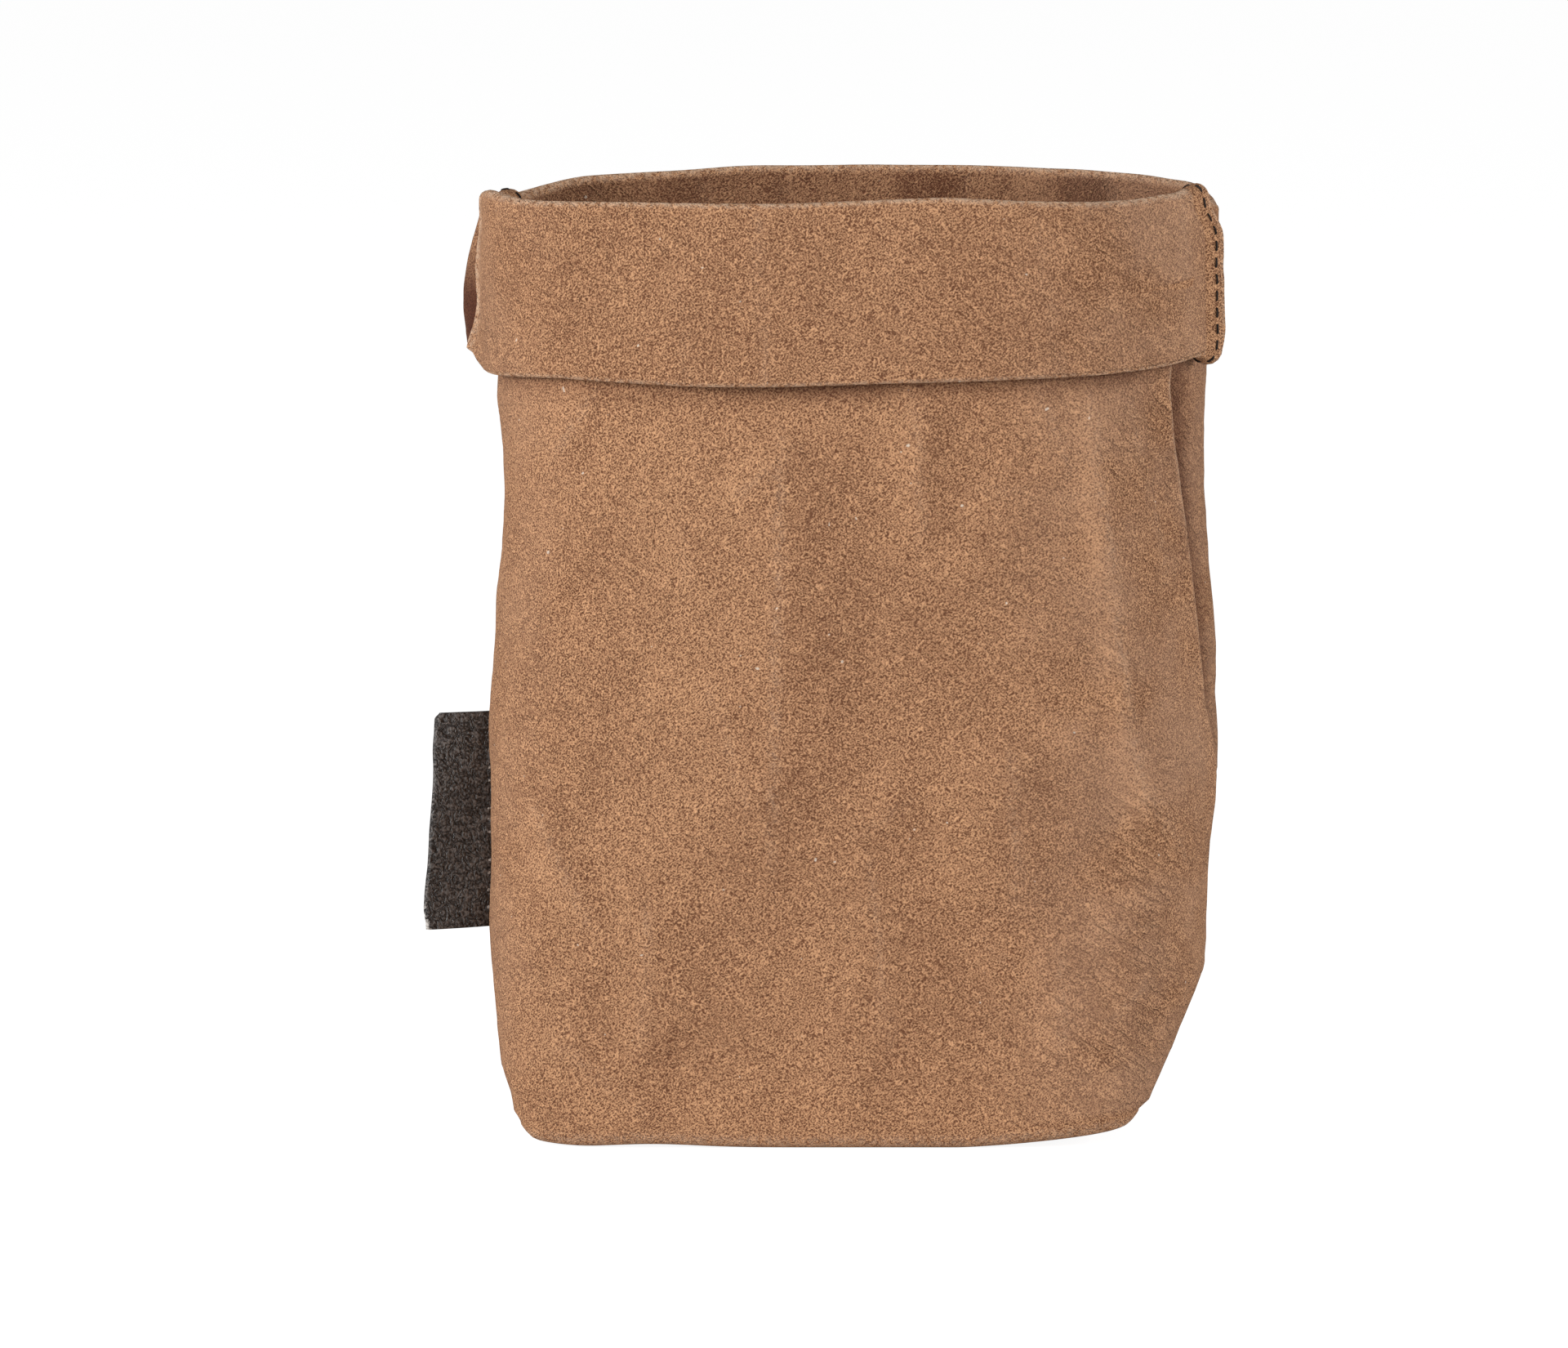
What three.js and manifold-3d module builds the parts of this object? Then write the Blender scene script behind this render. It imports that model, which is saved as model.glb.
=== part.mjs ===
// Paper bread basket: a tall bag sewn from one sheet of washable paper, standing open with its top
// rolled down twice into a cuff. A folded label is caught in the left side seam.
// Millimetres, +Z up, front towards -Y, origin on the floor under the middle of the bag.
import * as THREE from 'three';
import { mergeVertices } from 'three/addons/utils/BufferGeometryUtils.js';
import Module from 'manifold-3d';

const wasm = await Module();
wasm.setup();

// The sheet
const SHEET = 0.55; // thickness of the paper
const PANEL_WIDTH = 200; // flat width of the bag, from one side seam to the other
const HEIGHT = 200; // floor to the crest of the rim
const BASE_EDGE_RADIUS = 3; // soft fold where the base turns up into the walls

// The bag's outline, seen from above, as a superellipse whose depth follows from the sheet's girth
const BASE_HALF_LENGTH = 65; // at the floor
const BELLY_HALF_LENGTH = 77; // where the walls bulge most
const WAIST_HALF_LENGTH = 74.5; // where the cuff draws the walls in
const RIM_HALF_LENGTH = 75.5; // at the crest of the rim
const BELLY_Z = 80; // height of the bulge
const WAIST_BELOW_RIM = 55; // the waist's place, down from the crest
const BASE_EXPONENT = 8; // boxed corners: a rectangle with rounded corners
const RIM_EXPONENT = 2.5; // the mouth: a full oval
const CORNER_FADE = 25; // height over which the boxed corners soften
const BASE_SHIFT = 5; // the foot stands this far to the left of the mouth
const END_WALL_HALF = 25; // along the sheet, from a side seam to where the boxed corner begins
const BOXED_CORNER = 20; // along the sheet, round one boxed corner

// The side seams
const ALLOWANCE = 4; // paper beyond the stitching, both layers pressed together
const SEAM_PINCH = 1.2; // how far the seam draws the panels in
const SEAM_PINCH_REACH = 4; // how far along the panels that pull spreads
const SEAM_DRIFT = 16; // the seams' twist round the bag at the mouth: right one forwards, left one back
const DRIFT_START_Z = 15; // the twist begins above the boxed corners
const DRIFT_END_BELOW_RIM = 35; // and is complete just under the cuff
const LEAN_ON_WALL = 30; // degrees that the pressed allowance leans towards the back
const LEAN_ON_CUFF = 35;
const LEAN_AT_FOLDS = 50;
const LEAN_RISE = 24; // height over which the lean grows, up to the rim's fold

// The cuff: outer layer, then the hem tucked up behind it
const CUFF_HEIGHT = 39; // crest of the rim to the foot of the cuff
const HEM_TUCK = 16; // height of the hem behind the cuff
const RIM_FOLD_RADIUS = { panel: 0.9, seam: 1.7 }; // middle of the sheet, amid a panel and at a seam
const FOOT_STANDOFF = { panel: 3.2, seam: 5.8 }; // wall to the cuff's foot
const FOOT_FOLD_RADIUS = 0.8;
const HEM_STANDOFF = { panel: 1.25, seam: 3.7 }; // wall to the hem's raw edge

// The corner seams, sewn across the boxed ends of the base
const CORNER_SEAM_LENGTH = 66;
const CORNER_SEAM_CLEARANCE = 1.5; // the side allowances stop this far above them

// Thread
const THREAD = 0.4; // diameter
const THREAD_GAP = 0.2; // between thread and paper
const STITCH_REACH = 2.2; // from the seam line to the middle of the stitches
const THREAD_SIDES = 6;

// The label: a strip folded double, both ends in the left seam
const LABEL_BOTTOM_Z = 41;
const LABEL_HEIGHT = 46.5;
const LABEL_THICKNESS = 0.45; // one layer
const LABEL_GAP = 0.3; // between its two layers
const LABEL_REACH = 17; // from the seam line to the fold, at the bottom
const LABEL_SLANT = 2.4; // how much less it reaches at the top
const LABEL_ROOT = 3; // caught between the allowances
const LABEL_CLEARANCE = 0.3; // to the paper on each side
const LABEL_TAPER = 3; // height over which the allowance opens, above and below the label

const UP = new THREE.Vector3(0, 0, 1);
const GIRTH = 2 * PANEL_WIDTH;
const HALF_SHEET = SHEET / 2;
const CREST_Z = HEIGHT - HALF_SHEET; // middle of the sheet at the crest
const LABEL_STACK = 2 * LABEL_THICKNESS + LABEL_GAP;

const mix = THREE.MathUtils.lerp;
const smooth = THREE.MathUtils.smoothstep;
const radians = THREE.MathUtils.degToRad;

// Points of a superellipse, counter-clockwise from its left end.
function superellipse(halfLength, halfDepth, exponent, count = 240) {
  return Array.from({ length: count }, (_, i) => {
    const angle = Math.PI + (2 * Math.PI * i) / count;
    const c = Math.cos(angle);
    const s = Math.sin(angle);
    return new THREE.Vector2(
      halfLength * Math.sign(c) * Math.abs(c) ** (2 / exponent),
      halfDepth * Math.sign(s) * Math.abs(s) ** (2 / exponent),
    );
  });
}

function perimeter(points) {
  return points.reduce((sum, p, i) => sum + p.distanceTo(points[(i + 1) % points.length]), 0);
}

// Paper doesn't stretch, so the half depth is the one that gives the outline the sheet's girth.
function halfDepthFor(halfLength, exponent) {
  let low = 1;
  let high = GIRTH / 2;
  for (let step = 0; step < 40; step += 1) {
    const middle = (low + high) / 2;
    if (perimeter(superellipse(halfLength, middle, exponent)) < GIRTH) low = middle;
    else high = middle;
  }
  return (low + high) / 2;
}

function halfLengthAt(z) {
  const waistZ = HEIGHT - WAIST_BELOW_RIM;
  if (z < BELLY_Z) return mix(BELLY_HALF_LENGTH, BASE_HALF_LENGTH, (1 - z / BELLY_Z) ** 3);
  if (z < waistZ) return mix(BELLY_HALF_LENGTH, WAIST_HALF_LENGTH, smooth(z, BELLY_Z, waistZ));
  return mix(WAIST_HALF_LENGTH, RIM_HALF_LENGTH, smooth(z, waistZ, HEIGHT));
}

function seamDriftAt(z) {
  return SEAM_DRIFT * smooth(z, DRIFT_START_Z, HEIGHT - DRIFT_END_BELOW_RIM);
}

// The walls' middle outline at one height. It is read by distance along the sheet from the left seam,
// round the front to the right seam at PANEL_WIDTH, and on round the back.
const outlines = new Map();
function outlineAt(z) {
  if (outlines.has(z)) return outlines.get(z);
  const halfLength = halfLengthAt(z);
  const exponent = RIM_EXPONENT + (BASE_EXPONENT - RIM_EXPONENT) * Math.exp(-z / CORNER_FADE);
  const points = superellipse(halfLength, halfDepthFor(halfLength, exponent), exponent);
  const shiftX = -BASE_SHIFT * Math.max(0, 1 - z / BELLY_Z) ** 2;
  const lengths = [0];
  points.forEach((p, i) => {
    lengths.push(lengths[i] + p.distanceTo(points[(i + 1) % points.length]));
  });
  const total = lengths[points.length];
  const drift = seamDriftAt(z);
  const pointAt = (s) => {
    const along = THREE.MathUtils.euclideanModulo(s - drift, GIRTH) * (total / GIRTH);
    let i = 1;
    while (i < points.length && lengths[i] < along) i += 1;
    const t = (along - lengths[i - 1]) / (lengths[i] - lengths[i - 1]);
    return points[i - 1].clone().lerp(points[i % points.length], t).add({ x: shiftX, y: 0 });
  };
  const outline = (s) => {
    const tangent = pointAt(s + 1).sub(pointAt(s - 1)).normalize();
    return { point: pointAt(s), tangent, outward: new THREE.Vector2(tangent.y, -tangent.x) };
  };
  outlines.set(z, outline);
  return outline;
}

// Nearness to a side seam along the sheet: 1 at a seam, 0 amid a panel.
function seamNearness(s) {
  return Math.cos((Math.PI * s) / PANEL_WIDTH) ** 4;
}

function distanceToSeam(s) {
  const along = THREE.MathUtils.euclideanModulo(s, PANEL_WIDTH);
  return Math.min(along, PANEL_WIDTH - along);
}

// The sheet's path from the base's edge to its raw edge, as stations. Each gives, at distance s along
// the sheet, how far its middle lies outside the wall's outline, its height, and the direction that
// the sheet's inner face looks in: outwards (out) and up.
function baseEdgeStation(turn) {
  const angle = turn * (Math.PI / 2);
  return {
    outlineZ: 0,
    lean: 0,
    at: () => ({
      offset: -BASE_EDGE_RADIUS * (1 - Math.sin(angle)),
      z: HALF_SHEET + BASE_EDGE_RADIUS * (1 - Math.cos(angle)),
      out: -Math.sin(angle),
      up: Math.cos(angle),
    }),
  };
}

function rimRadius(s) {
  return mix(RIM_FOLD_RADIUS.panel, RIM_FOLD_RADIUS.seam, seamNearness(s));
}

function wallStation(z) {
  const foldZ = CREST_Z - RIM_FOLD_RADIUS.seam;
  return {
    outlineZ: z,
    lean: mix(LEAN_ON_WALL, LEAN_AT_FOLDS, smooth(z, foldZ - LEAN_RISE, foldZ)),
    at: () => ({ offset: 0, z, out: -1, up: 0 }),
  };
}

function rimStation(turn) {
  const angle = turn * Math.PI;
  return {
    outlineZ: CREST_Z,
    lean: LEAN_AT_FOLDS,
    at: (s) => {
      const radius = rimRadius(s);
      return {
        offset: radius * (1 - Math.cos(angle)),
        z: CREST_Z - radius * (1 - Math.sin(angle)),
        out: -Math.cos(angle),
        up: Math.sin(angle),
      };
    },
  };
}

const FOOT_Z = HEIGHT - CUFF_HEIGHT + HALF_SHEET + FOOT_FOLD_RADIUS; // where the foot's fold begins

function cuffStation(down) {
  return {
    outlineZ: mix(CREST_Z - RIM_FOLD_RADIUS.panel, FOOT_Z, down),
    lean: mix(LEAN_AT_FOLDS, LEAN_ON_CUFF, Math.sin(Math.PI * down)),
    at: (s) => {
      const radius = rimRadius(s);
      const standoff = mix(FOOT_STANDOFF.panel, FOOT_STANDOFF.seam, seamNearness(s));
      return {
        offset: mix(2 * radius, standoff, down),
        z: mix(CREST_Z - radius, FOOT_Z, down),
        out: 1,
        up: 0,
      };
    },
  };
}

function footStation(turn) {
  const angle = turn * Math.PI;
  return {
    outlineZ: FOOT_Z,
    lean: LEAN_AT_FOLDS,
    at: (s) => ({
      offset:
        mix(FOOT_STANDOFF.panel, FOOT_STANDOFF.seam, seamNearness(s)) -
        FOOT_FOLD_RADIUS * (1 - Math.cos(angle)),
      z: FOOT_Z - FOOT_FOLD_RADIUS * Math.sin(angle),
      out: Math.cos(angle),
      up: -Math.sin(angle),
    }),
  };
}

function hemStation(rise) {
  return {
    outlineZ: FOOT_Z + rise * HEM_TUCK,
    lean: LEAN_AT_FOLDS,
    at: (s) => {
      const near = seamNearness(s);
      const foot = mix(FOOT_STANDOFF.panel, FOOT_STANDOFF.seam, near) - 2 * FOOT_FOLD_RADIUS;
      const edge = mix(HEM_STANDOFF.panel, HEM_STANDOFF.seam, near);
      return { offset: mix(foot, edge, rise), z: FOOT_Z + rise * HEM_TUCK, out: -1, up: 0 };
    },
  };
}

// A point on the middle of the sheet with its directions: along the sheet round the bag, the way its
// inner face looks, and onwards along the sheet from base to raw edge.
function sheetAt(station, s) {
  const { point, tangent, outward } = outlineAt(station.outlineZ)(s);
  const { offset, z, out, up } = station.at(s);
  const away = new THREE.Vector3(outward.x, outward.y, 0);
  const inner = away.clone().multiplyScalar(out).addScaledVector(UP, up);
  const onwards = away.clone().multiplyScalar(up).addScaledVector(UP, -out);
  const nearSeam = Math.exp(-((distanceToSeam(s) / SEAM_PINCH_REACH) ** 2));
  const pinch = station.outlineZ > 0 ? SEAM_PINCH * nearSeam : 0; // the base has no side seam
  const middle = new THREE.Vector3(point.x, point.y, z)
    .addScaledVector(away, offset)
    .addScaledVector(inner, pinch);
  return { middle, along: new THREE.Vector3(tangent.x, tangent.y, 0), inner, onwards };
}

function steps(count) {
  return Array.from({ length: count + 1 }, (_, i) => i / count);
}

// Solids
function geometryFrom(positions, triangles) {
  const geometry = new THREE.BufferGeometry();
  geometry.setAttribute('position', new THREE.Float32BufferAttribute(positions, 3));
  geometry.setIndex(triangles);
  const merged = mergeVertices(geometry);
  const index = [];
  for (let i = 0; i < merged.index.count; i += 3) {
    const [a, b, c] = [0, 1, 2].map((k) => merged.index.getX(i + k));
    if (a !== b && b !== c && c !== a) index.push(a, b, c);
  }
  merged.setIndex(index);
  return merged;
}

function solidOf(geometry) {
  return new wasm.Manifold(
    new wasm.Mesh({
      numProp: 3,
      vertProperties: Float32Array.from(geometry.attributes.position.array),
      triVerts: Uint32Array.from(geometry.index.array),
    }),
  );
}

function geometryOf(solid) {
  const mesh = solid.getMesh();
  const geometry = new THREE.BufferGeometry();
  geometry.setAttribute('position', new THREE.BufferAttribute(mesh.vertProperties, 3));
  geometry.setIndex(new THREE.BufferAttribute(mesh.triVerts, 1));
  return geometry;
}

// A closed outline carried through a row of frames, with flat ends. The outline turns anticlockwise
// from each frame's right to its up, and right x up points the way the row runs.
function carried(outline, frames) {
  const positions = [];
  frames.forEach(({ origin, right, up }) => {
    outline.forEach(({ x, y }) => {
      const p = origin.clone().addScaledVector(right, x).addScaledVector(up, y);
      positions.push(p.x, p.y, p.z);
    });
  });
  const n = outline.length;
  const last = (frames.length - 1) * n;
  const triangles = [];
  for (let j = 0; j < frames.length - 1; j += 1) {
    for (let i = 0; i < n; i += 1) {
      const a = j * n + i;
      const b = j * n + ((i + 1) % n);
      triangles.push(a, b, b + n, a, b + n, a + n);
    }
  }
  THREE.ShapeUtils.triangulateShape(outline, []).forEach(([a, b, c]) => {
    triangles.push(a, c, b, last + a, last + b, last + c);
  });
  return geometryFrom(positions, triangles);
}

function rectangle(x0, x1, y0, y1) {
  return [
    new THREE.Vector2(x0, y0),
    new THREE.Vector2(x1, y0),
    new THREE.Vector2(x1, y1),
    new THREE.Vector2(x0, y1),
  ];
}

// The two side seams. Their allowances lean towards the back of the bag.
const RIGHT = { name: 'right', s: PANEL_WIDTH, backwards: 1 };
const LEFT = { name: 'left', s: 0, backwards: -1 };
const CORNER_STATION = baseEdgeStation(0.5);
const CORNER_TOP_Z =
  sheetAt(CORNER_STATION, 0).middle.z + (ALLOWANCE + SHEET) * Math.SQRT1_2;
const SIDE_SEAM_START_Z = CORNER_TOP_Z + CORNER_SEAM_CLEARANCE;

// Half the thickness of the pressed allowance. The label's root opens the left one.
function allowanceHalfWidth(seam, station) {
  if (seam !== LEFT) return SHEET;
  const z = station.outlineZ;
  const labelTop = LABEL_BOTTOM_Z + LABEL_HEIGHT;
  const low = smooth(z, LABEL_BOTTOM_Z - 2 * LABEL_TAPER, LABEL_BOTTOM_Z - LABEL_TAPER);
  const high = smooth(z, labelTop + LABEL_TAPER, labelTop + 2 * LABEL_TAPER);
  return SHEET + (LABEL_STACK / 2 + LABEL_CLEARANCE) * (low - high);
}

// Directions at a side seam: reach runs out along the pressed allowance, across is square to it.
function seamFrame(seam, station) {
  const { middle, along, inner, onwards } = sheetAt(station, seam.s);
  const lean = radians(station.lean);
  const reach = inner
    .clone()
    .multiplyScalar(Math.cos(lean))
    .addScaledVector(along, Math.sin(lean) * seam.backwards);
  const across = onwards.clone().cross(reach);
  return { middle, along, reach, across, lean };
}

// Stations up the side seams: closer together where the allowance opens for the label, where it leans
// over below the rim, and in the folds.
function sideSeamStations() {
  const top = CREST_Z - RIM_FOLD_RADIUS.seam;
  const labelTop = LABEL_BOTTOM_Z + LABEL_HEIGHT;
  const runs = [
    { to: LABEL_BOTTOM_Z - 2 * LABEL_TAPER, count: 3 },
    { to: LABEL_BOTTOM_Z - LABEL_TAPER, count: 1 },
    { to: labelTop + LABEL_TAPER, count: 3 },
    { to: labelTop + 2 * LABEL_TAPER, count: 1 },
    { to: top - LEAN_RISE, count: 4 },
    { to: top, count: 5 },
  ];
  const heights = [SIDE_SEAM_START_Z];
  runs.forEach(({ to, count }) => {
    const from = heights[heights.length - 1];
    steps(count).slice(1).forEach((t) => heights.push(mix(from, to, t)));
  });
  return [
    ...heights.map(wallStation),
    ...steps(6).slice(1).map(rimStation),
    ...steps(5).slice(1).map(cuffStation),
    ...steps(5).slice(1).map(footStation),
    ...steps(2).slice(1).map(hemStation),
  ];
}

function sideAllowance(seam) {
  const frames = sideSeamStations().map((station) => {
    const { middle, along, reach, lean } = seamFrame(seam, station);
    const halfWidth = allowanceHalfWidth(seam, station) / Math.cos(lean);
    return {
      origin: middle,
      right: reach.multiplyScalar(ALLOWANCE),
      up: along.multiplyScalar(-halfWidth),
    };
  });
  return carried(rectangle(0, 1, -1, 1), frames);
}

// Frames along a corner seam, from front to back round the end of the base.
function cornerFrames(seam, count) {
  return steps(count).map((t) => {
    const s = seam.s + (t - 0.5) * CORNER_SEAM_LENGTH;
    const { middle, inner, onwards } = sheetAt(CORNER_STATION, s);
    return { middle, reach: inner, across: onwards };
  });
}

function cornerAllowance(seam) {
  const frames = cornerFrames(seam, 12).map(({ middle, reach, across }) => ({
    origin: middle,
    right: reach.clone().multiplyScalar(ALLOWANCE),
    up: across.clone().multiplyScalar(SHEET),
  }));
  return carried(rectangle(0, 1, -1, 1), frames);
}

// A thread lies along one face of an allowance: side is 1 or -1 across it.
const threadOutline = Array.from({ length: THREAD_SIDES }, (_, i) => {
  const angle = (2 * Math.PI * i) / THREAD_SIDES;
  return new THREE.Vector2(Math.cos(angle), Math.sin(angle)).multiplyScalar(THREAD / 2);
});

function threadFrame({ middle, reach, across }, halfWidth, side) {
  const lift = side * (halfWidth + THREAD_GAP + THREAD / 2);
  return {
    origin: middle.clone().addScaledVector(reach, STITCH_REACH).addScaledVector(across, lift),
    right: reach,
    up: across,
  };
}

function sideThread(seam, side) {
  const frames = sideSeamStations().map((station) =>
    threadFrame(seamFrame(seam, station), allowanceHalfWidth(seam, station), side),
  );
  return carried(threadOutline, frames);
}

function cornerThread(seam, side) {
  const frames = cornerFrames(seam, 12).map((frame) => threadFrame(frame, SHEET, side));
  return carried(threadOutline, frames);
}

// The label and the slit that its root passes through, both carried up the left seam.
function labelFrames(fromZ, toZ) {
  return steps(6).map((t) => {
    const { middle, reach, across } = seamFrame(LEFT, wallStation(mix(fromZ, toZ, t)));
    return { origin: middle, right: reach.negate(), up: across.negate() };
  });
}

function sideLabel() {
  const inner = LABEL_GAP / 2;
  const outer = inner + LABEL_THICKNESS;
  const foldX = LABEL_REACH - outer;
  const arc = (radius, from, to) =>
    steps(6).map((t) => {
      const angle = radians(mix(from, to, t));
      return new THREE.Vector2(foldX + radius * Math.cos(angle), radius * Math.sin(angle));
    });
  const hairpin = [
    new THREE.Vector2(-LABEL_ROOT, -outer),
    ...arc(outer, -90, 90),
    new THREE.Vector2(-LABEL_ROOT, outer),
    new THREE.Vector2(-LABEL_ROOT, inner),
    ...arc(inner, 90, -90),
    new THREE.Vector2(-LABEL_ROOT, -inner),
  ];
  const frames = labelFrames(LABEL_BOTTOM_Z, LABEL_BOTTOM_Z + LABEL_HEIGHT);
  frames.forEach((frame, i) => {
    frame.origin.addScaledVector(frame.right, -LABEL_SLANT * (i / (frames.length - 1)));
  });
  return carried(hairpin, frames);
}

function labelSlit() {
  const half = LABEL_STACK / 2 + LABEL_CLEARANCE;
  const depth = ALLOWANCE + 2 * SHEET;
  const top = LABEL_BOTTOM_Z + LABEL_HEIGHT + LABEL_CLEARANCE;
  return carried(
    rectangle(-depth, 3 * SHEET, -half, half),
    labelFrames(LABEL_BOTTOM_Z - LABEL_CLEARANCE, top),
  );
}

// The folded sheet. Rows of points run from the middle of the base up the outer face to the raw edge,
// over it, and back down the inner face.
function panelDistances() {
  const runs = [
    { length: END_WALL_HALF, count: 3 },
    { length: BOXED_CORNER, count: 4 },
    { length: PANEL_WIDTH / 2 - END_WALL_HALF - BOXED_CORNER, count: 4 }, // to the panel's middle
  ];
  const half = [];
  let start = 0;
  runs.forEach(({ length, count }) => {
    steps(count).slice(1).forEach((t) => half.push(start + t * length));
    start += length;
  });
  const mirrored = half.slice(0, -1).reverse().map((s) => PANEL_WIDTH - s);
  return [...half, ...mirrored, PANEL_WIDTH];
}

function foldedSheet() {
  const panel = panelDistances();
  const around = [...panel, ...panel.map((s) => s + PANEL_WIDTH)];
  const stations = [...steps(3).map(baseEdgeStation), ...sideSeamStations()];
  const face = (side) => {
    const rows = stations.map((station) =>
      around.map((s) => {
        const { middle, inner } = sheetAt(station, s);
        return middle.addScaledVector(inner, side * HALF_SHEET);
      }),
    );
    const opposite = (i) => rows[0][(2 * around.length - 2 - i) % around.length];
    const base = [0, 0.5].map((spread) =>
      rows[0].map((p, i) => new THREE.Vector3((p.x + opposite(i).x) / 2, p.y * spread, p.z)),
    );
    return [...base, ...rows];
  };
  const rows = [...face(-1), ...face(1).reverse()];
  const n = around.length;
  const triangles = [];
  for (let j = 0; j < rows.length - 1; j += 1) {
    for (let i = 0; i < n; i += 1) {
      const a = j * n + i;
      const b = j * n + ((i + 1) % n);
      triangles.push(a, b, b + n, a, b + n, a + n);
    }
  }
  return geometryFrom(rows.flat().flatMap((p) => p.toArray()), triangles);
}

function basketBody() {
  let body = solidOf(foldedSheet());
  [RIGHT, LEFT].forEach((seam) => {
    body = body.add(solidOf(sideAllowance(seam))).add(solidOf(cornerAllowance(seam)));
  });
  return geometryOf(body.subtract(solidOf(labelSlit())));
}

// The assembly
const paper = () => new THREE.MeshStandardMaterial({ color: 0xa3795b, roughness: 0.85, metalness: 0 });
const coated = () => new THREE.MeshStandardMaterial({ color: 0x3f3936, roughness: 0.55, metalness: 0 });
const thread = () => new THREE.MeshStandardMaterial({ color: 0x1f1714, roughness: 0.7, metalness: 0 });

const basket = new THREE.Group();

function addPiece(name, geometry, material) {
  const mesh = new THREE.Mesh(geometry, material);
  mesh.name = name;
  basket.add(mesh);
}

addPiece('basket_body', basketBody(), paper());
addPiece('side_label', sideLabel(), coated());
[RIGHT, LEFT].forEach((seam) => {
  const front = seam.backwards; // the front face of an allowance, as a side across it
  addPiece(`${seam.name}_seam_needle_thread`, sideThread(seam, front), thread());
  addPiece(`${seam.name}_seam_bobbin_thread`, sideThread(seam, -front), thread());
  addPiece(`${seam.name}_corner_needle_thread`, cornerThread(seam, 1), thread());
  addPiece(`${seam.name}_corner_bobbin_thread`, cornerThread(seam, -1), thread());
});

export default basket;
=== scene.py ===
"""Paper bread basket: a bag sewn from one sheet of washable kraft paper, with its top rolled down.

Sizes are in millimetres in the text and become metres as each mesh is made. The frame is the CAD's:
+Z up, front panel towards -Y, origin on the floor under the middle of the bag.
"""

import bmesh
import bpy
import numpy as np
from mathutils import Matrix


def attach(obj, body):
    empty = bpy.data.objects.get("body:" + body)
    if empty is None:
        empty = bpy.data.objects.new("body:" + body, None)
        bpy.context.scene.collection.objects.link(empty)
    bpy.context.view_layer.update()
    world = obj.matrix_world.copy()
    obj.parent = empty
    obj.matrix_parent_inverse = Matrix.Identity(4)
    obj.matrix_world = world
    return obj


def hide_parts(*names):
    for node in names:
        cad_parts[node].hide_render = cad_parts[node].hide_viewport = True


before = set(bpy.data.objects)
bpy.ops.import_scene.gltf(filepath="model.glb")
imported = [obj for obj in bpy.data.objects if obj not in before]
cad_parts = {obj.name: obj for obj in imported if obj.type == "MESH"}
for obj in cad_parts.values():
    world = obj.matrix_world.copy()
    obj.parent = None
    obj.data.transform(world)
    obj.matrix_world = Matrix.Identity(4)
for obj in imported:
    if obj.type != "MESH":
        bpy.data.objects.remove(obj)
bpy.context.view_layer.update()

# The sheet of kraft paper.
# One sheet makes the whole bag: folded up at the base, sewn along both sides, boxed at the bottom
# corners and rolled over twice at the mouth. Its inner face shows on the cuff.
MM = 0.001
GIRTH = 400.0  # once round the bag; the distance s runs from the left seam over the front panel
PANEL = 200.0
PAPER = 0.55
CREST_Z = 200.0 - PAPER / 2
BASE_HALF, BELLY_HALF, WAIST_HALF, RIM_HALF = 65.0, 77.0, 74.5, 75.5
BELLY_Z, WAIST_Z, RIM_Z = 80.0, 145.0, 200.0
BASE_POWER, MOUTH_POWER = 8.0, 2.5  # boxed corners at the floor, a full oval at the mouth
CORNER_FADE = 25.0
BASE_SHIFT = 5.0  # the foot stands this far to the left of the mouth
BASE_EDGE_RADIUS = 3.0
FOOT_FOLD_RADIUS = 0.8
FOOT_Z = 161.0 + PAPER / 2 + FOOT_FOLD_RADIUS
HEM_TUCK = 16.0
RIM_FOLD_RADIUS = {"panel": 0.9, "left": 1.7, "right": 1.1}
FOOT_STANDOFF = {"panel": 3.2, "left": 4.6, "right": 3.1}  # from the wall to the cuff's foot
HEM_STANDOFF = {"panel": 1.25, "left": 2.9, "right": 2.9}
LEFT_SEAM_DRIFT, RIGHT_SEAM_DRIFT = 16.0, 21.0  # round the bag, where the seams meet the cuff
ALLOWANCE = 4.0
LEAN_ON_WALL = 30.0


def mix(a, b, t):
    """The value a share t of the way from a to b."""
    return a + (b - a) * t


def smooth(x, low, high):
    """Smooth step: 3t^2 - 2t^3, where t is how far x is from low to high, kept between 0 and 1."""
    t = np.clip((x - low) / (high - low), 0.0, 1.0)
    return t * t * (3.0 - 2.0 * t)


def bell(x, middle, width):
    """A bell of height 1: e to the minus square of the distance from the middle over the width."""
    return np.exp(-(((x - middle) / width) ** 2))


def unit(v):
    """Vectors of length 1 in the same directions."""
    return v / np.maximum(np.linalg.norm(v, axis=-1, keepdims=True), 1e-9)


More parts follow.
